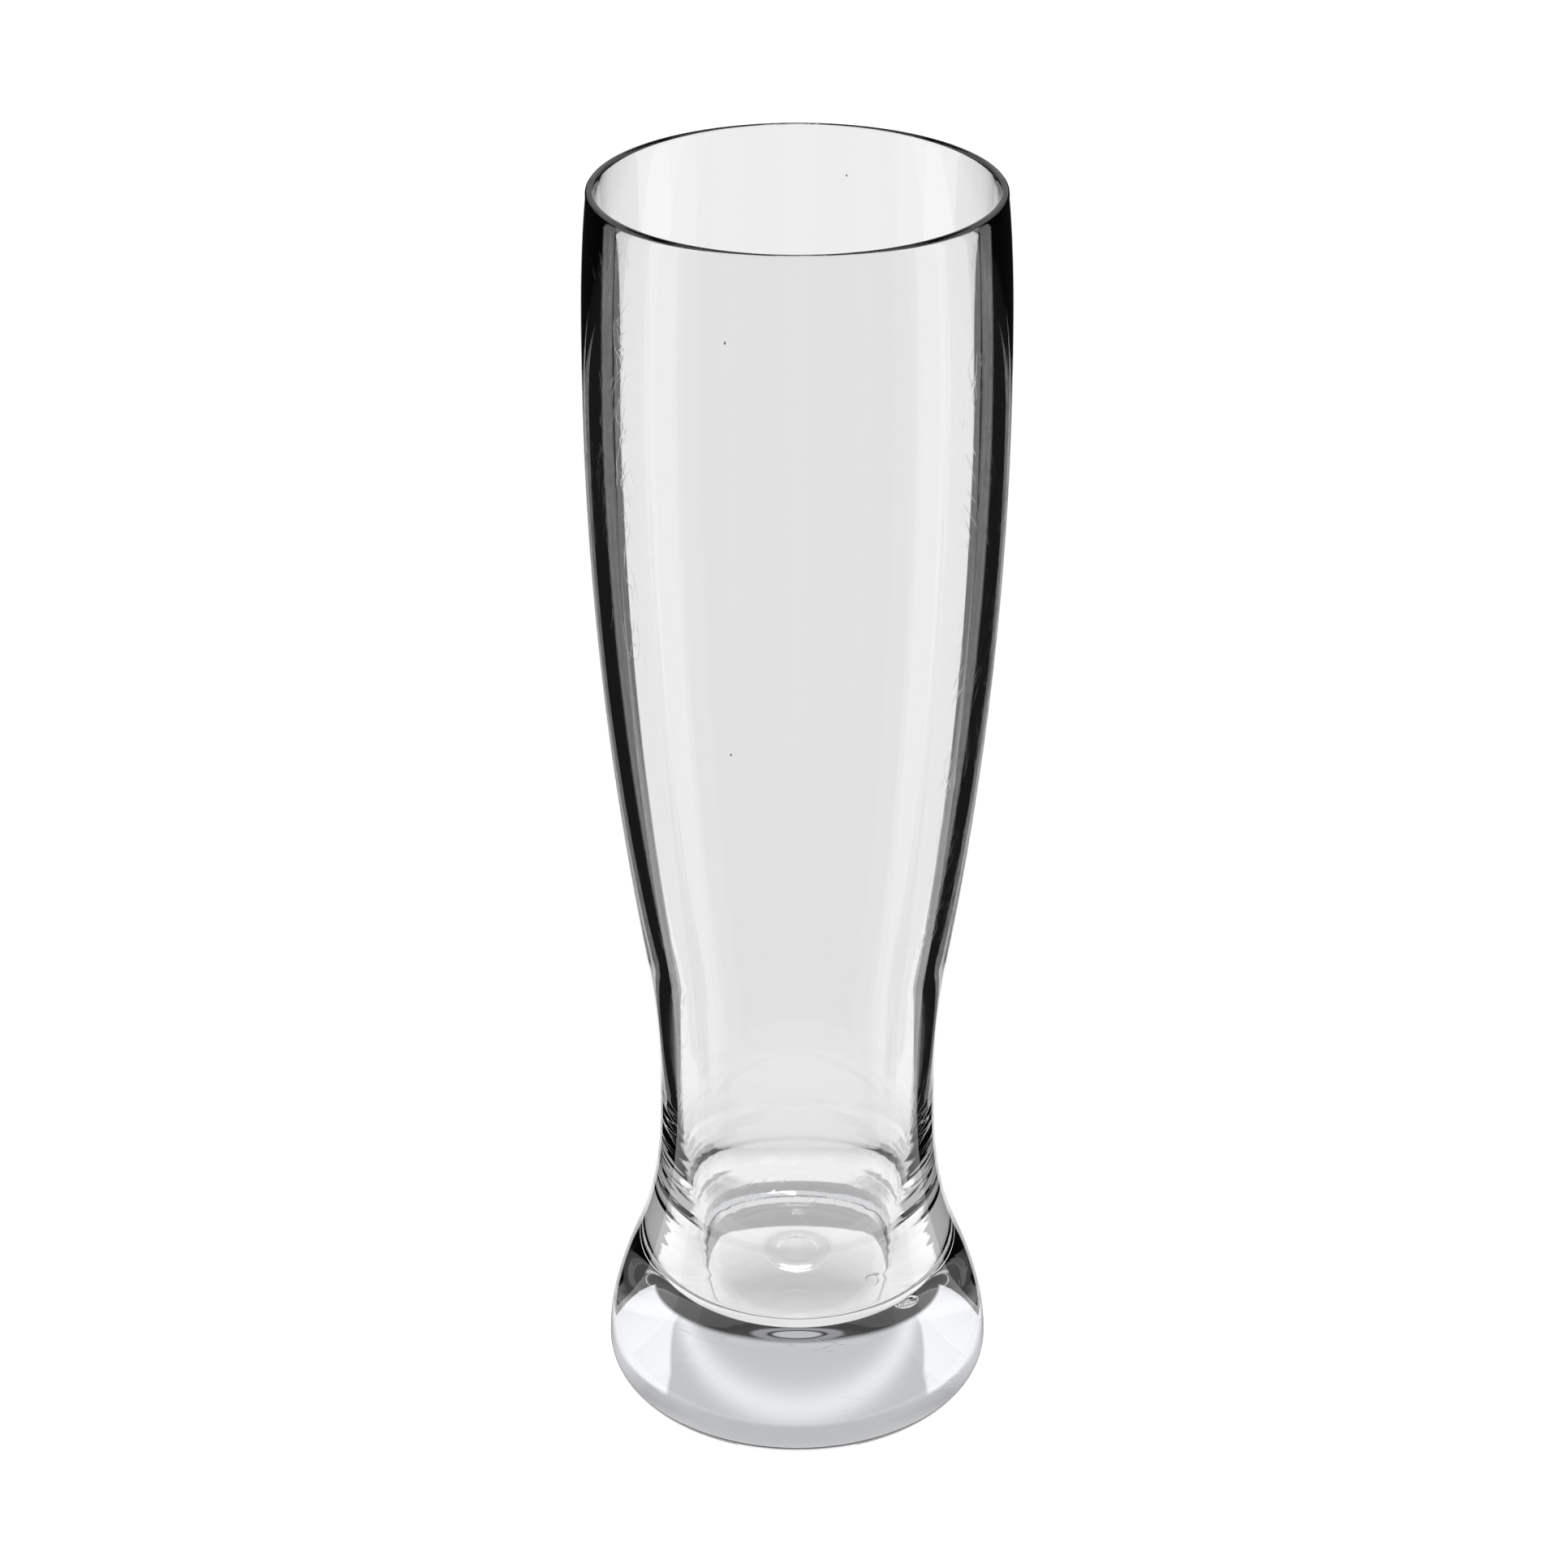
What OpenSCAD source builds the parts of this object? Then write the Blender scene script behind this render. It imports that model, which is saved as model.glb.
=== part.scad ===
// Weizen beer glass: one clear moulding, a tall slim bowl on a thick solid foot.
// Millimetres, +Z up, origin at the centre of the flat resting face under the foot.

/* [Height] */
// Height from the resting face to the top of the lip
total_height = 245; // [235:0.5:265]

/* [Outside curve] */
// Widest diameter of the foot, just above its lower rounding
foot_diameter = 74.6; // [68:0.2:82]
// Radius of the rounding between the foot's side and the resting face
foot_rounding = 7; // [3:0.5:10]
// Height of the point where the foot's shoulder leans in the most
shoulder_height = 28.7; // [24:0.1:34]
// Diameter of the glass at that point
shoulder_diameter = 64.2; // [60:0.2:67]
// Angle by which the shoulder leans in there
shoulder_angle = 22.8; // [15:0.2:28]
// Height of the waist, the narrowest place
waist_height = 63; // [58:0.5:70]
// Outside diameter at the waist
waist_diameter = 53.1; // [49:0.1:57]
// Height of the place where the bowl widens the fastest
flare_height = 94.4; // [86:0.2:104]
// Outside diameter at that place
flare_diameter = 58; // [54:0.2:62]
// Angle by which the side leans out there
flare_angle = 9.4; // [6:0.1:12]
// Distance from the top of the lip down to the belly, the widest place of the bowl
belly_drop = 38.5; // [30:0.5:46]
// Outside diameter at the belly
belly_diameter = 76.8; // [70:0.2:84]
// Outside diameter at the rim
rim_diameter = 74; // [68:0.2:80]
// Angle by which the side leans in below the lip
rim_angle = 6.2; // [0:0.2:10]

/* [Wall] */
// Thickness of the wall at the lip, which is rounded over to half of it
lip_wall = 1.6; // [1.2:0.1:3]
// Thickness of the wall at the belly
belly_wall = 3.25; // [2:0.05:4.5]
// Thickness of the wall at the fastest flare
flare_wall = 3.55; // [2:0.05:5]
// Thickness of the wall at the waist
waist_wall = 3.2; // [2:0.1:5]
// Draft angle of the inside from the belly up to the lip
mouth_angle = 0.3; // [0:0.1:1]
// Angle by which the inside leans out at the fastest flare
bore_angle = 10; // [6:0.1:12]

/* [Well and floor] */
// Height of the floor inside, which is how thick the solid foot is
floor_height = 21; // [14:0.5:28]
// Diameter of the well where its side meets the rounding of the floor
well_diameter = 45.8; // [38:0.2:46]
// Draft angle of the well's side from the floor up to the waist
well_angle = 0.6; // [0:0.1:1]
// Radius of the rounding between the well's side and its floor
floor_rounding = 5; // [2:0.5:9]

/* [Moulding mark] */
// Diameter of the round moulding mark in the middle of the floor
mark_diameter = 14.6; // [12:0.2:18]
// How far the mark stands up from the floor
mark_rise = 0.4; // [0.2:0.05:0.8]
// Diameter of the dished middle of the mark
dish_diameter = 9; // [5:0.5:10]
// How far the middle is dished below the mark's face
dish_depth = 0.3; // [0.1:0.05:0.6]

/* [Hidden] */

// Straight pieces along each stretch of a free curve
curve_steps = 12;
// Straight pieces along each quarter of a rounding
arc_steps = 8;
// Round faces
$fn = 96;

lip_radius = lip_wall / 2;
lip_start = total_height - lip_radius;
belly_height = total_height - belly_drop;

// One station of a side curve: its height, its radius and the radius gained per height there
function station(height, radius, lean) = [height, radius, lean];

// Radius at the share t of the way from station a to station b, on a cubic that keeps both leans
function side_radius(a, b, t) =
    (2 * pow(t, 3) - 3 * pow(t, 2) + 1) * a[1]
    + (pow(t, 3) - 2 * pow(t, 2) + t) * (b[0] - a[0]) * a[2]
    + (3 * pow(t, 2) - 2 * pow(t, 3)) * b[1]
    + (pow(t, 3) - pow(t, 2)) * (b[0] - a[0]) * b[2];

// Points of the curve through a row of stations
function side_points(stations) = [
    for (i = [0 : len(stations) - 2])
        for (j = [(i == 0 ? 0 : 1) : curve_steps])
            let (a = stations[i], b = stations[i + 1], t = j / curve_steps)
                [side_radius(a, b, t), a[0] + (b[0] - a[0]) * t]
];

// Points of an arc about a centre, without its two ends
function arc_points(centre, radius, from_angle, to_angle, steps) = [
    for (j = [1 : steps - 1])
        let (angle = from_angle + (to_angle - from_angle) * j / steps)
            centre + radius * [cos(angle), sin(angle)]
];

// The outside, from the foot up
outside_stations = [
    station(foot_rounding, foot_diameter / 2, 0),
    station(shoulder_height, shoulder_diameter / 2, -tan(shoulder_angle)),
    station(waist_height, waist_diameter / 2, 0),
    station(flare_height, flare_diameter / 2, tan(flare_angle)),
    station(belly_height, belly_diameter / 2, 0),
    station(lip_start, rim_diameter / 2, -tan(rim_angle))
];

// The inside, from the lip down
inside_stations = [
    station(lip_start, rim_diameter / 2 - lip_wall, tan(mouth_angle)),
    station(belly_height, belly_diameter / 2 - belly_wall, tan(mouth_angle)),
    station(flare_height, flare_diameter / 2 - flare_wall, tan(bore_angle)),
    station(waist_height, waist_diameter / 2 - waist_wall, tan(well_angle)),
    station(floor_height + floor_rounding, well_diameter / 2, tan(well_angle))
];

foot_round_centre = [foot_diameter / 2 - foot_rounding, foot_rounding];
lip_centre = [rim_diameter / 2 - lip_radius, lip_start];
floor_round_centre = [well_diameter / 2 - floor_rounding, floor_height + floor_rounding];

// The low round mark that the mould leaves on the floor, with a dished middle, from its edge to the axis
mark_points = [
    [mark_diameter / 2, floor_height],
    [mark_diameter / 2 - mark_rise, floor_height + mark_rise],
    [dish_diameter / 2, floor_height + mark_rise],
    [dish_diameter / 2 - dish_depth, floor_height + mark_rise - dish_depth],
    [0, floor_height + mark_rise - dish_depth]
];

module glass_outline() {
    polygon(concat(
        [[0, 0], [foot_diameter / 2 - foot_rounding, 0]],
        arc_points(foot_round_centre, foot_rounding, -90, 0, arc_steps),
        side_points(outside_stations),
        arc_points(lip_centre, lip_radius, 0, 180, 2 * arc_steps),
        side_points(inside_stations),
        arc_points(floor_round_centre, floor_rounding, 0, -90, arc_steps),
        [[well_diameter / 2 - floor_rounding, floor_height]],
        mark_points
    ));
}

module glass() {
    color([0.92, 0.95, 0.97, 0.35])
        rotate_extrude()
            glass_outline();
}

glass();
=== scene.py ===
import math
import bpy
import numpy as np
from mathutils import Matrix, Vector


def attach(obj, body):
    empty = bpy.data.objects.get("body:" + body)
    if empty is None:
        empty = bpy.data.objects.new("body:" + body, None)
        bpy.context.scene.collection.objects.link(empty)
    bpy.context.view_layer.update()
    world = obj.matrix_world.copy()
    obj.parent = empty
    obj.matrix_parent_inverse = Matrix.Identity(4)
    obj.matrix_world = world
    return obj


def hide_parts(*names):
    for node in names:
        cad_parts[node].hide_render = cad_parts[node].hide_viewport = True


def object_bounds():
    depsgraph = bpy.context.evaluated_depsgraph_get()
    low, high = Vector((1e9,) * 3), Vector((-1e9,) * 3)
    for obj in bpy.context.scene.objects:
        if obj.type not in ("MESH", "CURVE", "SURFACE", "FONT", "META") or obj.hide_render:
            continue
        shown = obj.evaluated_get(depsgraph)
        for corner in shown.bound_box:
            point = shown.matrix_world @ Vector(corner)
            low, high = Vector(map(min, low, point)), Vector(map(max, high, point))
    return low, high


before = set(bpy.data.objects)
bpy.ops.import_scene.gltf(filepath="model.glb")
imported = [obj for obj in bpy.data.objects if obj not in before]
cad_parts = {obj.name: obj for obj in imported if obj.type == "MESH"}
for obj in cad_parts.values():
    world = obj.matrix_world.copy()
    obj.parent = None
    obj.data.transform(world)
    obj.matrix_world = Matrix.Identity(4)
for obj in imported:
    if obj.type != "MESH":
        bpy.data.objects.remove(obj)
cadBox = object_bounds()
mm = 0.001

# the glass, in millimetres: what a user would change
glassHeight, bellyRadius = [round(cadBox[1][axis] / mm, 3) for axis in (2, 0)]      # from the frame
bellyDrop, bellyWall = 38.5, 3.25         # the belly is this far below the top, with a wall this thick
glassForm = {
    "height": glassHeight,
    "footRadius": 37.3,
    "footRound": 7.0,                     # rounding under the foot
    "outside": [                          # height, radius, radius gained per height
        (28.7, 32.1, -0.4204),
        (63.0, 26.55, 0.0),
        (94.4, 29.0, 0.1655),
        (glassHeight - bellyDrop, bellyRadius, 0.0),
    ],
    "rimRadius": 37.0,
    "rimLean": -0.1086,
    "inside": [                           # the same for the inside, which widens all the way up
        (63.0, 23.35, 0.01),
        (94.4, 25.45, 0.175),
        (glassHeight - bellyDrop, bellyRadius - bellyWall, 0.005),
    ],
    "lipWall": 1.6,
    "mouthDraft": 0.005,
    "wellRadius": 22.9,
    "wellLean": 0.01,
    "floorHeight": 21.0,
    "floorRound": 5.0,
    "markRadius": 7.3,
    "markRise": 0.4,
    "dishRadius": 4.5,
    "dishDepth": 0.3,
    "dishEase": 0.3,                      # the dish's edges, eased over this much
    "waves": [(0.030, 4.7, 27.0), (0.022, 2.9, 29.0), (0.011, 1.9, 28.0)],    # depth, length, start
    "waveShares": (0.04, 1.0, 0.12),      # in front, at the sides and behind
    "wavesFrom": 26.0,
    "wavesFromOver": 4.0,                 # they fade in over this height
    "wavesTo": 64.0,
    "wavesToOver": 10.0,
    "wavesNarrow": 6,                     # power of the cosine that keeps them to the sides
    "bubbles": [                          # middle and half sizes of each
        ((16.8, -9.6, 19.8), (2.2, 2.0, 0.7)),
        ((-12.0, -34.7, 229.1), (0.17, 0.17, 0.3)),
        ((-11.5, -32.5, 151.0), (0.17, 0.17, 0.25)),
        ((9.15, 35.4, 235.4), (0.17, 0.17, 0.2)),
    ],
    "segments": 232,
    "steps": {"underside": 12, "footArc": 28, "outside": 20, "lip": 16, "well": 150, "inside": 24,
              "floorArc": 24, "floor": 8},        # straight pieces along each stretch of the profile
}


# adds one node with its settings and inputs. An input is a value, a socket, or a node, whose first output
# is then meant
def addNode(tree, kind, inputs=(), **settings):
    node = tree.nodes.new(kind)
    for name, value in settings.items():
        setattr(node, name, value)
    for name, value in dict(inputs).items():
        if isinstance(value, bpy.types.Node):
            value = value.outputs[0]
        if isinstance(value, bpy.types.NodeSocket):
            tree.links.new(value, node.inputs[name])
        else:
            node.inputs[name].default_value = value
    return node


# goes from one level to another as a value passes a place:
# level = before + (after - before) * share, where share = (value - place) / width + 1/2, kept in 0 to 1
def fade(tree, value, place, width, before, after):
    return addNode(tree, "ShaderNodeMapRange", {
        "Value": value, "From Min": place - width / 2, "From Max": place + width / 2,
        "To Min": before, "To Max": after})


# an sRGB hex colour as linear light: ((value + 0.055) / 1.055) ^ 2.4, or value / 12.92 near black
def colour(code):
    value = np.array([int(code[k:k + 2], 16) for k in (1, 3, 5)]) / 255
    linear = np.where(value > 0.04045, ((value + 0.055) / 1.055) ** 2.4, value / 12.92)
    return (*linear.tolist(), 1.0)


def emptyMaterial(name):
    material = bpy.data.materials.new(name)
    material.use_nodes = True
    material.node_tree.nodes.clear()
    return material, material.node_tree


def addMesh(name, points, faces, material):
    mesh = bpy.data.meshes.new(name)
    mesh.from_pydata(points, [], faces)
    mesh.materials.append(material)
    piece = bpy.data.objects.new(name, mesh)
    bpy.context.scene.collection.objects.link(piece)
    return piece


# faces between rings of points that lie ring after ring, each closed on itself
def wrapped(rings, around, start):
    i, j = np.meshgrid(np.arange(rings - 1), np.arange(around), indexing="ij")
    k = (j + 1) % around
    quads = np.stack([i * around + j, i * around + k, (i + 1) * around + k, (i + 1) * around + j], axis=2)
    return (quads.reshape(-1, 4) + start).tolist()


# triangles from the ring of a number to one point; a lower ring is turned round so that it looks outwards too
def capped(ring, around, point, start, flip=False):
    j = np.arange(around) + ring * around
    k = (np.arange(around) + 1) % around + ring * around
    first, second = (k, j) if flip else (j, k)
    return (np.c_[first, second, np.full(around, point)] + start).tolist()


# a cubic between each two rows of height, radius and lean, which keeps both radii and both leans. With t
# running from 0 to 1: radius = (2t^3 - 3t^2 + 1) a + (t^3 - 2t^2 + t) span leanA + (3t^2 - 2t^3) b
# + (t^3 - t^2) span leanB
def sideCurve(rows, steps):
    rows = np.array(rows)
    t = np.arange(1, steps + 1) / steps
    parts = [rows[:1, :2]]
    for a, b in zip(rows[:-1], rows[1:]):
        span = b[0] - a[0]
        radius = ((2 * t**3 - 3 * t**2 + 1) * a[1] + (t**3 - 2 * t**2 + t) * span * a[2]
                  + (3 * t**2 - 2 * t**3) * b[1] + (t**3 - t**2) * span * b[2])
        parts.append(np.c_[a[0] + span * t, radius])
    points = np.vstack(parts)
    return points[:, ::-1]


# part of a circle about a centre, from one angle to another in degrees
def arc(centre, radius, start, end, steps):
    a = np.radians(np.linspace(start, end, steps + 1))
    return np.array(centre) + radius * np.c_[np.cos(a), np.sin(a)]


# the profile runs from under the foot, up the outside, over the lip, down the inside and to the middle of
# the floor
def glassProfile(form):
    steps = form["steps"]
    lip = form["lipWall"] / 2
    lipStart = form["height"] - lip
    rest = form["footRadius"] - form["footRound"]
    out = rest * np.linspace(0, 1, steps["underside"] + 1) ** 0.5
    underside = np.c_[out, np.zeros_like(out)]
    footArc = arc((rest, form["footRound"]), form["footRound"], -90, 0, steps["footArc"])
    outer = sideCurve([(form["footRound"], form["footRadius"], 0.0), *form["outside"],
                       (lipStart, form["rimRadius"], form["rimLean"])], steps["outside"])
    lipArc = arc((form["rimRadius"] - lip, lipStart), lip, 0, 180, steps["lip"])
    well = (form["floorHeight"] + form["floorRound"], form["wellRadius"], form["wellLean"])
    mouth = (lipStart, form["rimRadius"] - form["lipWall"], form["mouthDraft"])
    wellSide = sideCurve([well, form["inside"][0]], steps["well"])
    inner = np.vstack([wellSide, sideCurve([*form["inside"], mouth], steps["inside"])[1:]])[::-1]
    flat = form["wellRadius"] - form["floorRound"]
    top = form["floorHeight"]
    floorArc = arc((flat, top + form["floorRound"]), form["floorRound"], 0, -90, steps["floorArc"])
    out = np.linspace(flat, form["markRadius"], steps["floor"] + 1)
    floorFlat = np.c_[out, np.full_like(out, top)]
    up, down, ease = form["markRise"], form["dishDepth"], form["dishEase"]
    edge, dish = form["markRadius"], form["dishRadius"]
    mark = np.array([(edge - up / 2, up / 2), (edge - up, up), (dish + ease, up), (dish, up),
                     (dish - down, up - down), (dish - down - ease, up - down), (dish / 3, up - down),
                     (0, up - down)]) + (0, top)
    return np.vstack([underside[:-1], footArc, outer[1:], lipArc[1:], inner[1:], floorArc[1:], floorFlat[1:],
                      mark])


# shallow waves that the polished core leaves on the well's side: a sum of sines of the height, fading out
# at both ends, deepest at the two sides, fainter behind and faintest in front:
# share = least + (side - least) * cos(a) ^ power
def waves(form, radius, z, a):
    depth = sum(most * np.sin(2 * math.pi * (z - start) / length) for most, length, start in form["waves"])
    rise = np.clip((z - form["wavesFrom"]) / form["wavesFromOver"], 0, 1)
    fall = np.clip((form["wavesTo"] - z) / form["wavesToOver"], 0, 1)
    front, side, back = form["waveShares"]
    least = np.where(np.sin(a) < 0, front, back)
    share = least + (side - least) * np.cos(a)**form["wavesNarrow"]
    # the middle of the wall at the waist: the well's side is narrower than this, and the outside wider
    middle = (form["inside"][0][1] + form["outside"][1][1]) / 2
    return depth * rise * fall * share * (radius < middle)


# a small closed hollow in the plastic: a round ball whose faces look inwards, away from the plastic
def bubble(middle, size, start):
    around, rings = 24, 11
    a = np.arange(around) * 2 * math.pi / around
    b = np.linspace(0, math.pi, rings + 2)[1:-1]
    ball = np.stack([np.outer(np.sin(b), np.cos(a)), np.outer(np.sin(b), np.sin(a)),
                     np.outer(np.cos(b), np.ones(around))], axis=2).reshape(-1, 3)
    ball = np.vstack([ball, [[0, 0, 1], [0, 0, -1]]])
    faces = (wrapped(rings, around, start) + capped(0, around, rings * around, start, flip=True)
             + capped(rings - 1, around, rings * around + 1, start))
    return np.array(middle) + np.array(size) * ball, faces


# turns the profile round the upright axis, ring by ring, with one point where it meets the axis at each end,
# and adds the bubbles
def turned(form):
    profile = glassProfile(form)
    ring = profile[1:-1]
    a = np.arange(form["segments"]) * 2 * math.pi / form["segments"]
    radius = ring[:, :1] + waves(form, ring[:, :1], ring[:, 1:], a)
    up = np.repeat(ring[:, 1:], len(a), axis=1)
    points = np.stack([radius * np.cos(a), radius * np.sin(a), up], axis=2).reshape(-1, 3)
    points = np.vstack([points, [[0, 0, profile[0, 1]], [0, 0, profile[-1, 1]]]])
    faces = (wrapped(len(ring), len(a), 0) + capped(0, len(a), len(points) - 2, 0, flip=True)
             + capped(len(ring) - 1, len(a), len(points) - 1, 0))
    for middle, size in form["bubbles"]:
        hollow, inward = bubble(middle, size, len(points))
        points = np.vstack([points, hollow])
        faces += inward
    return points * mm, faces


# clear polycarbonate from a polished mould: bright, sharp reflections with the slow unevenness of a moulding,
# fine scratches from wiping, and a frosted round mark on the floor of the well
def clearPlastic(look, form):
    material, tree = emptyMaterial("clear polycarbonate, moulded and polished")
    where = addNode(tree, "ShaderNodeTexCoord").outputs["Object"]
    middle = (0, 0, form["floorHeight"] * mm)
    away = addNode(tree, "ShaderNodeVectorMath", {0: where, 1: middle}, operation="DISTANCE").outputs["Value"]
    edge = form["markRadius"] * mm
    soft = look["markEdge"] * mm
    onMark = fade(tree, away, edge, soft, 1.0, 0.0)

    # scratches: thin ridges where a stretched noise crosses its middle, one set for each way of wiping
    scratch = 0.0
    for turnBy, seed in look["scratchSets"]:
        moved = addNode(tree, "ShaderNodeMapping",
                        {"Vector": where, "Rotation": turnBy, "Location": (seed,) * 3})
        long = addNode(tree, "ShaderNodeVectorMath",
                       {0: moved, 1: tuple(size * mm for size in look["scratchSize"])}, operation="DIVIDE")
        wave = addNode(tree, "ShaderNodeTexNoise", {"Vector": long, "Scale": 1.0, "Detail": 1.0})
        cross = addNode(tree, "ShaderNodeMath", {0: wave, 1: 0.5}, operation="SUBTRACT")
        near = addNode(tree, "ShaderNodeMath", {0: cross}, operation="ABSOLUTE")
        patch = addNode(tree, "ShaderNodeTexNoise", {"Vector": moved, "Scale": 1 / (look["patchSize"] * mm)})
        thin = fade(tree, near, look["scratchShare"], look["scratchShare"],
                    fade(tree, patch, look["patchFrom"], look["patchSoft"], 0.0, 1.0), 0.0)
        scratch = addNode(tree, "ShaderNodeMath", {0: scratch, 1: thin}, operation="ADD")

    # height: the swell, less the scratches, with the mark's grain on top
    swell = addNode(tree, "ShaderNodeTexNoise",
                    {"Vector": where, "Scale": 1 / (look["swellSize"] * mm), "Detail": 1.0})
    grain = addNode(tree, "ShaderNodeTexNoise",
                    {"Vector": where, "Scale": 1 / (look["grainSize"] * mm), "Detail": 3.0})
    grain = addNode(tree, "ShaderNodeMath", {0: grain, 1: onMark}, operation="MULTIPLY")
    height = addNode(tree, "ShaderNodeMath", {0: swell, 1: look["swellDepth"] * mm}, operation="MULTIPLY")
    for term, depth in ((scratch, -look["scratchDepth"]), (grain, look["grainDepth"])):
        height = addNode(tree, "ShaderNodeMath", {0: term, 1: depth * mm, 2: height},
                         operation="MULTIPLY_ADD")
    bump = addNode(tree, "ShaderNodeBump", {"Height": height, "Strength": 1.0, "Distance": 1.0})
    shade = addNode(tree, "ShaderNodeMix", {0: onMark, 6: colour(look["clear"]), 7: colour(look["frosted"])},
                    data_type="RGBA").outputs[2]
    shader = addNode(tree, "ShaderNodeBsdfPrincipled", {
        "Base Color": shade,
        "Roughness": fade(tree, away, edge, soft, look["markRoughness"], 0.0),
        "IOR": look["index"],
        "Transmission Weight": 1.0,
        "Normal": bump,
    })
    addNode(tree, "ShaderNodeOutputMaterial", {"Surface": shader})
    return material


# the surface: sizes in millimetres
glassLook = {
    "index": 1.585,                       # polycarbonate's: it bends light more than common glass
    "clear": "#FAFAFA",                   # what one face lets through
    "frosted": "#E7E7E7",                 # the same on the mark
    "markRoughness": 0.22,
    "markEdge": 0.3,
    "grainSize": 0.5,                     # the mark's frosting
    "grainDepth": 0.08,
    "swellSize": 22.2,                    # slow unevenness of the moulding
    "swellDepth": 0.012,
    "scratchSets": [((0.3, 0.9, 0.4), 0.11), ((1.2, 0.2, 1.9), 0.37), ((0.1, 1.4, 2.6), 0.73)],
    "scratchSize": (71.4, 3.85, 3.85),    # length and spacing
    "scratchShare": 0.010,                # of the spacing: drawn about 0.1 mm wide, so that they show
    "scratchDepth": 0.002,
    "patchSize": 25.0,                    # scratches lie in patches
    "patchFrom": 0.62,
    "patchSoft": 0.05,
}

glass = addMesh("clearGlass", *turned(glassForm), clearPlastic(glassLook, glassForm))
glass.data.polygons.foreach_set("use_smooth", np.ones(len(glass.data.polygons), bool))
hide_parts("glass")
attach(glass, "root")
print("glass:", len(glass.data.polygons), "faces")


# plain light of one level
def emitter(name, level):
    material, tree = emptyMaterial(name)
    glow = addNode(tree, "ShaderNodeEmission", {"Color": colour("#FFFFFF"), "Strength": level})
    addNode(tree, "ShaderNodeOutputMaterial", {"Surface": glow})
    return material, tree, glow


# a flat card just above the table, part of a ring round the glass: its edges run straight from an angle on
# the near ring to an angle on the far ring, both turned from straight behind the glass
def card(name, start, end, rings, height, material):
    count = 49
    share = np.linspace(0, 1, count)
    points = []
    for k, radius in enumerate(rings):
        a = np.radians(start[k] + (end[k] - start[k]) * share)
        points.append(np.c_[radius * np.sin(a), radius * np.cos(a), np.full(count, height)])
    i = np.arange(count - 1)
    return addMesh(name, np.vstack(points), np.c_[i, i + 1, i + count + 1, i + count].tolist(), material)


# the table round the glass, in metres, degrees and levels of light: angles are turned from straight behind
table = {
    "rings": (0.055, 2.02),
    "cardHeight": 0.0004,
    "nearHeight": -0.0001,
    "opening": (65.0, 14.18),             # half the white table behind, on the near ring and on the far ring
    "backLevel": 0.97,
    "lightCuts": (70.0, 97.0, 116.0),     # at each side: where strong light, weak light and front start
    "strongLevel": (1.05, 1.1),           # left and right
    "weakLevel": (0.55, 0.6),
    "darkLevel": 0.01,
    "frontLevel": 0.22,
    "nearLevel": 0.95,                    # close round the foot
    "besideLevel": 0.08,                  # painted shadow: the darker zones beside the foot, by x and by distance
    "besideFrom": 0.030,
    "besideSoft": 0.010,
    "besideTo": 0.047,
    "besideToSoft": 0.006,
    "footEdge": 0.0365,                   # inside this lies what is seen through the foot
    "footEdgeSoft": 0.001,
    "litMiddle": (0, -0.0176, 0),         # the lit round patch that is seen through the foot
    "litRadius": 0.0386,
    "litEdge": 0.0006,
    "litLevels": (0.85, 0.62),            # its front half and its back half
    "litTurn": -0.006,
    "litTurnSoft": 0.008,
    "litRim": 1.12,
    "litRimInside": 0.010,
    "litRimSoft": 0.018,
    "unlitLevel": 0.53,
}


# light of the table close to the foot, painted by place: a round lit patch under the foot, whose rim is
# brightest, grey behind it, and a painted shadow beside the foot on both sides
def nearTable(table):
    material, tree, glow = emitter("table near the foot", table["nearLevel"])
    where = addNode(tree, "ShaderNodeTexCoord").outputs["Object"]
    parts = addNode(tree, "ShaderNodeSeparateXYZ", {0: where})
    beside = addNode(tree, "ShaderNodeMath", {0: parts.outputs["X"]}, operation="ABSOLUTE")
    ring = addNode(tree, "ShaderNodeVectorMath", {0: where}, operation="LENGTH").outputs["Value"]
    away = addNode(tree, "ShaderNodeVectorMath", {0: where, 1: table["litMiddle"]}, operation="DISTANCE")
    away = away.outputs["Value"]
    # painted pool of light: the round patch under the foot, brighter in front, brightest at its rim, with
    # unlit grey round it
    lit = fade(tree, parts.outputs["Y"], table["litTurn"], table["litTurnSoft"], *table["litLevels"])
    lit = fade(tree, away, table["litRadius"] - table["litRimInside"], table["litRimSoft"],
               lit, table["litRim"])
    lit = fade(tree, away, table["litRadius"], table["litEdge"], lit, table["unlitLevel"])
    # painted shadow: darker zones beside the foot on both sides, out to besideTo
    paintedShadow = fade(tree, beside, table["besideFrom"], table["besideSoft"],
               table["nearLevel"], table["besideLevel"])
    paintedShadow = fade(tree, ring, table["besideTo"], table["besideToSoft"], paintedShadow, table["nearLevel"])
    level = fade(tree, ring, table["footEdge"], table["footEdgeSoft"], lit, paintedShadow)
    tree.links.new(level.outputs[0], glow.inputs["Strength"])
    return material


def tableCards(table):
    rings, height, opening = table["rings"], table["cardHeight"], table["opening"]
    behind = emitter("white table behind", table["backLevel"])[0]
    cards = [card("tableBehind", [-a for a in opening], opening, rings, height, behind),
             card("tableNear", (0, 0), (360, 360), (0.0, rings[0] + mm), table["nearHeight"],
                  nearTable(table))]
    cuts = [opening, *[(a, a) for a in table["lightCuts"]], (180, 180)]
    for side in (-1, 1):
        right = side > 0
        levels = (table["darkLevel"], table["strongLevel"][right], table["weakLevel"][right],
                  table["frontLevel"])
        for k, (name, level) in enumerate(zip(("darkCard", "strongLight", "weakLight", "frontCard"), levels)):
            start, end = [tuple(side * a for a in cut) for cut in cuts[k:k + 2]]
            cards.append(card(name, start, end, rings, height, emitter(name, level)[0]))
    return cards


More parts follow.
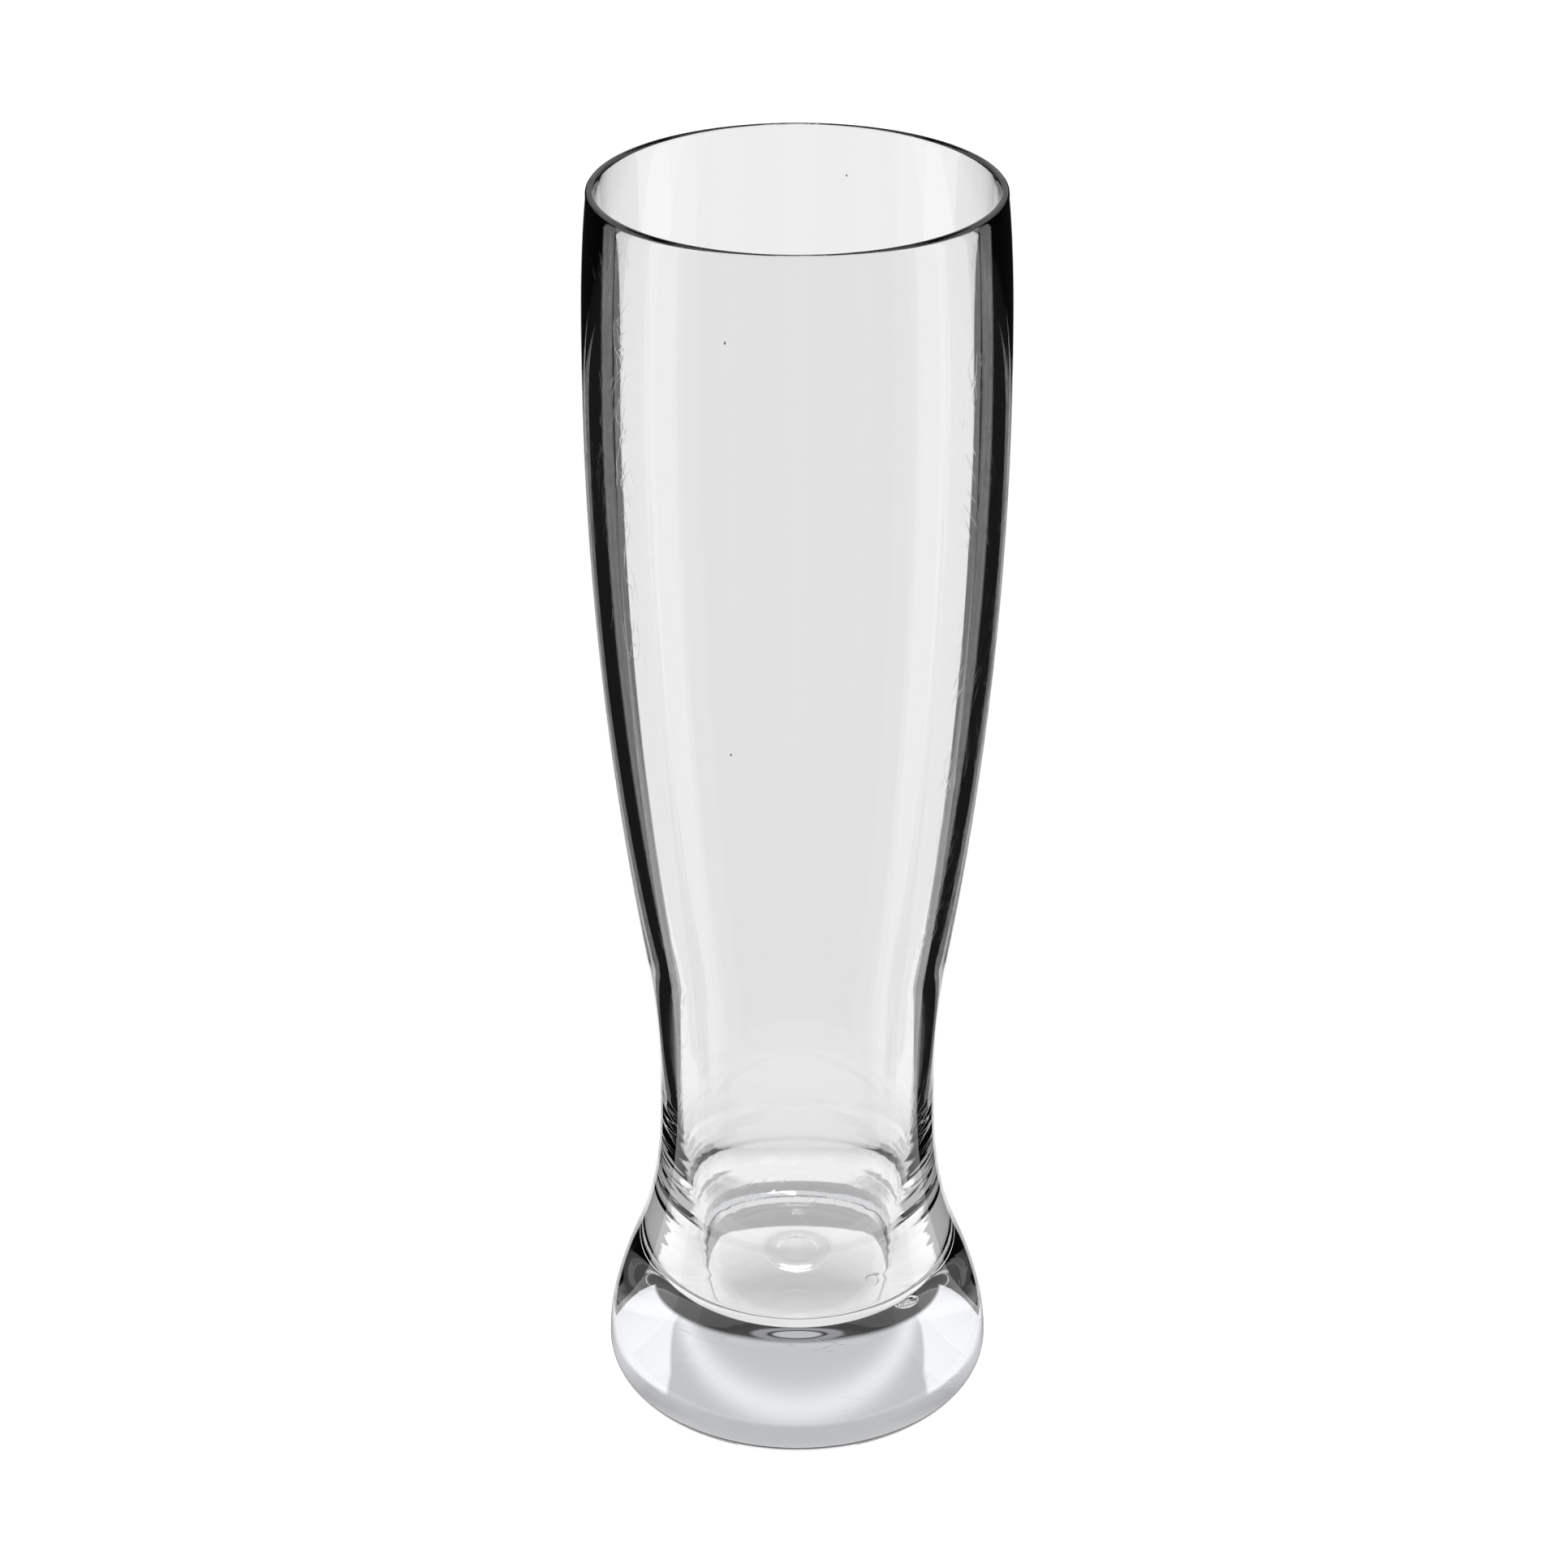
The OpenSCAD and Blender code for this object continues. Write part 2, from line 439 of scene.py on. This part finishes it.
# the upper half of the studio, in metres, degrees and levels of light
dome = {
    "radius": 2.0,
    "around": 64,
    "upwards": 16,
    "tint": "#FAFCFF",                    # a little cool
    "strength": 1.024,                    # makes up for the light that the tint takes
    "panelHalf": (36.7, 42.2),            # half the width of the grey panel behind, low down and at its top
    "panelHalfAt": 37.0,
    "panelHalfOver": 10.0,
    "panelHalfSoft": 1.5,
    "panelFrom": 26.5,                    # its lower edge, as an angle above the table
    "panelTo": 42.0,                      # its upper edge, which curves up to the sides
    "panelToRise": 8 / 75 ** 2,
    "sideTo": 32.0,                       # the same past the end of the panel's sides
    "sideFrom": 79.0,
    "panelLevel": 0.62,
    "glowLevel": 0.92,                    # the upturned crescent of light on the panel
    "glowAt": 30.0,
    "glowRise": 13 / 37 ** 2,
    "glowWidth": 3.6,
    "besideLevel": 1.05,
    "underLevel": 0.52,                   # under the panel, up to a turn and over a width
    "underTo": 60.0,
    "underOver": 30.0,
    "topLevel": 0.04,                     # the dark upper part
    "frontFrom": 116.0,
    "sharp": 1.0,                         # width of a sharp edge, and of a soft one round the dome
    "turnSoft": 6.0,
    "baseTo": 12.0,                       # below this the dome carries on the cards of the table
    "baseSoft": 4.0,
    "lampAt": 43.5,                       # the ring lamp behind, seen low
    "lampHalf": 13.4,
    "lampHeight": 1.5,
    "lampLevel": 0.3,
    "lampMiddle": 0.55,
    "lampDark": (0.52, 0.1),              # place and width of each edge from its middle out, as shares of
    "lampBright": (0.66, 0.08),           # its size
    "lampEdge": (1.0, 0.12),
    "overheadFrom": 58.0,
    "overheadSoft": 3.0,
    "overheadLevel": 0.9,
    "spotAt": (0.01, 0.28, 0.95),         # the small lamp overhead, as a direction
    "spotSize": 0.08,
    "spotSoft": 0.05,
    "spotLevel": 18.0,
    "stripAt": (0.010, -0.37, 0.93),      # the narrow strip lamp high in front, as a direction
    "stripSize": (0.016, 0.20),           # half its width and half its length
    "stripSoft": 0.2,
    "stripLevel": 5.0,
}


# light of the dome by direction. turn is the angle from straight behind, lift the angle above the table:
# panel = grey + (bright - grey) * e ^ -((lift - arch) / width) ^ 2, where arch = start + rise * turn ^ 2
def domeLight(dome, table):
    material, tree, glow = emitter("studio dome", 1.0)
    where = addNode(tree, "ShaderNodeTexCoord").outputs["Object"]
    parts = addNode(tree, "ShaderNodeSeparateXYZ", {0: where})
    x, y, z = parts.outputs
    flat = addNode(tree, "ShaderNodeVectorMath", {0: where, 1: (1, 1, 0)}, operation="MULTIPLY")
    flat = addNode(tree, "ShaderNodeVectorMath", {0: flat}, operation="LENGTH").outputs["Value"]
    x = addNode(tree, "ShaderNodeMath", {0: x}, operation="ABSOLUTE")
    turn = addNode(tree, "ShaderNodeMath", {0: x, 1: y}, operation="ARCTAN2")
    turn = addNode(tree, "ShaderNodeMath", {0: turn}, operation="DEGREES")
    lift = addNode(tree, "ShaderNodeMath", {0: z, 1: flat}, operation="ARCTAN2")
    lift = addNode(tree, "ShaderNodeMath", {0: lift}, operation="DEGREES")
    squared = addNode(tree, "ShaderNodeMath", {0: turn, 1: 2.0}, operation="POWER")

    arch = addNode(tree, "ShaderNodeMath", {0: squared, 1: dome["glowRise"], 2: dome["glowAt"]},
                   operation="MULTIPLY_ADD")
    away = addNode(tree, "ShaderNodeMath", {0: lift, 1: arch}, operation="SUBTRACT")
    away = addNode(tree, "ShaderNodeMath", {0: away, 1: dome["glowWidth"]}, operation="DIVIDE")
    away = addNode(tree, "ShaderNodeMath", {0: away, 1: away}, operation="MULTIPLY")
    away = addNode(tree, "ShaderNodeMath", {0: away, 1: -1.0}, operation="MULTIPLY")
    bright = addNode(tree, "ShaderNodeMath", {0: away}, operation="EXPONENT")
    panel = fade(tree, bright, 0.5, 1.0, dome["panelLevel"], dome["glowLevel"])

    half = fade(tree, lift, dome["panelHalfAt"], dome["panelHalfOver"], *dome["panelHalf"])
    past = addNode(tree, "ShaderNodeMath", {0: turn, 1: half}, operation="SUBTRACT")
    sky = fade(tree, past, 0.0, dome["panelHalfSoft"], panel, dome["besideLevel"])
    under = fade(tree, turn, dome["underTo"], dome["underOver"], dome["underLevel"], dome["besideLevel"])
    sky = fade(tree, lift, dome["panelFrom"], dome["sharp"], under, sky)
    sky = fade(tree, turn, dome["frontFrom"], dome["turnSoft"], sky, table["frontLevel"])
    edge = addNode(tree, "ShaderNodeMath", {0: squared, 1: dome["panelToRise"], 2: dome["panelTo"]},
                   operation="MULTIPLY_ADD")
    edge = fade(tree, turn, dome["sideFrom"], dome["turnSoft"], edge, dome["sideTo"])
    over = addNode(tree, "ShaderNodeMath", {0: lift, 1: edge}, operation="SUBTRACT")
    sky = fade(tree, over, 0.0, dome["sharp"], sky, dome["topLevel"])

    # the ring lamp: share is 1 on its outer ellipse
    wide = addNode(tree, "ShaderNodeMath", {0: turn, 1: dome["lampHalf"]}, operation="DIVIDE")
    high = addNode(tree, "ShaderNodeMath", {0: lift, 1: dome["lampAt"]}, operation="SUBTRACT")
    high = addNode(tree, "ShaderNodeMath", {0: high, 1: dome["lampHeight"]}, operation="DIVIDE")
    share = addNode(tree, "ShaderNodeCombineXYZ", {"X": wide, "Y": high})
    share = addNode(tree, "ShaderNodeVectorMath", {0: share}, operation="LENGTH").outputs["Value"]
    lamp = fade(tree, share, *dome["lampDark"], dome["lampMiddle"], dome["topLevel"])
    lamp = fade(tree, share, *dome["lampBright"], lamp, dome["lampLevel"])
    sky = fade(tree, share, *dome["lampEdge"], lamp, sky)

    # low down it has the levels of the table's cards, each from its turn on
    base = table["backLevel"]
    levels = (table["darkLevel"], table["strongLevel"][0], table["weakLevel"][0], table["frontLevel"])
    for place, level in zip((table["opening"][1], *table["lightCuts"]), levels):
        base = fade(tree, turn, place, dome["sharp"], base, level)
    sky = fade(tree, lift, dome["baseTo"], dome["baseSoft"], base, sky)
    sky = fade(tree, lift, dome["overheadFrom"], dome["overheadSoft"], sky, dome["overheadLevel"])

    # the small lamp, by the distance from its middle
    aim = np.array(dome["spotAt"]) / np.linalg.norm(dome["spotAt"]) * dome["radius"]
    away = addNode(tree, "ShaderNodeVectorMath", {0: where, 1: tuple(aim)}, operation="DISTANCE")
    away = away.outputs["Value"]
    sky = fade(tree, away, dome["spotSize"] * dome["radius"], dome["spotSoft"], dome["spotLevel"], sky)

    # the strip lamp: share is 1 on its edge
    aim = np.array(dome["stripAt"]) / np.linalg.norm(dome["stripAt"]) * dome["radius"]
    width, length = dome["stripSize"]
    away = addNode(tree, "ShaderNodeVectorMath", {0: where, 1: tuple(aim)}, operation="SUBTRACT")
    share = addNode(tree, "ShaderNodeVectorMath", {0: away, 1: (width, length, length)}, operation="DIVIDE")
    share = addNode(tree, "ShaderNodeVectorMath", {0: share}, operation="LENGTH").outputs["Value"]
    sky = fade(tree, share, 1.0, dome["stripSoft"], dome["stripLevel"], sky)
    sky = addNode(tree, "ShaderNodeMath", {0: sky, 1: dome["strength"]}, operation="MULTIPLY")
    tree.links.new(sky.outputs[0], glow.inputs["Strength"])
    glow.inputs["Color"].default_value = colour(dome["tint"])
    return material


def studioDome(dome, table):
    az = np.arange(dome["around"]) * 2 * math.pi / dome["around"]
    el = np.linspace(0, math.pi / 2, dome["upwards"] + 1)[:-1]
    points = np.stack([np.outer(np.cos(el), np.sin(az)), np.outer(np.cos(el), np.cos(az)),
                       np.outer(np.sin(el), np.ones(len(az)))], axis=2).reshape(-1, 3)
    points = np.vstack([points, [[0, 0, 1]]]) * dome["radius"]
    return addMesh("studioDome", points, wrapped(dome["upwards"], dome["around"], 0)
                   + capped(dome["upwards"] - 1, dome["around"], len(points) - 1, 0), domeLight(dome, table))


rig = bpy.data.objects.new("studioRig", None)
bpy.context.scene.collection.objects.link(rig)
for piece in (*tableCards(table), studioDome(dome, table)):
    piece.visible_camera = False
    piece.visible_diffuse = False
    piece.visible_shadow = False
    piece.parent = rig
print("studio: cards and dome")

# the pale floor that the camera sees, and the white beyond it
floor = {"half": 6.0, "level": -0.0002, "shade": "#959595", "glow": 0.9, "beyondLevel": 1.15}
material, tree = emptyMaterial("white table, matt")
shader = addNode(tree, "ShaderNodeBsdfPrincipled", {
    "Base Color": colour(floor["shade"]),
    "Roughness": 1.0,
    "Specular IOR Level": 0.0,
    "Emission Color": colour("#FFFFFF"),
    "Emission Strength": floor["glow"],
})
addNode(tree, "ShaderNodeOutputMaterial", {"Surface": shader})
far = floor["half"]
corners = [(x, y, floor["level"]) for x, y in ((-far, -far), (far, -far), (far, far), (-far, far))]
addMesh("paleFloor", corners, [(0, 1, 2, 3)], material)
world = bpy.data.worlds.new("studio")
bpy.context.scene.world = world
world.use_nodes = True
beyond = world.node_tree.nodes["Background"]
beyond.inputs["Color"].default_value = colour("#FFFFFF")
beyond.inputs["Strength"].default_value = floor["beyondLevel"]
bpy.context.scene.view_settings.view_transform = "Standard"
print("floor and world")

# the photo's camera, fitted to the ellipses of the lip and the foot: metres, radians and the photo's pixels
photo = {
    "width": 1932,
    "focalLength": 5000,
    "sensorWidth": 36.0,                  # millimetres
    "middlePast": -16.3,                  # how far the camera's axis is from the middle of the photo
    "from": (0, -0.677788, 0.469271),
    "lookDown": 0.4659,
}
view = bpy.data.cameras.new("photoView")
view.sensor_width = photo["sensorWidth"]
view.lens = photo["focalLength"] / photo["width"] * photo["sensorWidth"]
view.shift_x = photo["middlePast"] / photo["width"]
view.clip_start = 0.05
view.clip_end = 20
camera = bpy.data.objects.new("photoView", view)
bpy.context.scene.collection.objects.link(camera)
camera.location = photo["from"]
camera.rotation_euler = (math.pi / 2 - photo["lookDown"], 0, 0)
bpy.context.scene.camera = camera

# the studio turns with the view, so that the glass is lit alike from every side
follow = rig.constraints.new("COPY_ROTATION")
follow.target = camera
follow.use_x = False
follow.use_y = False
print("camera")
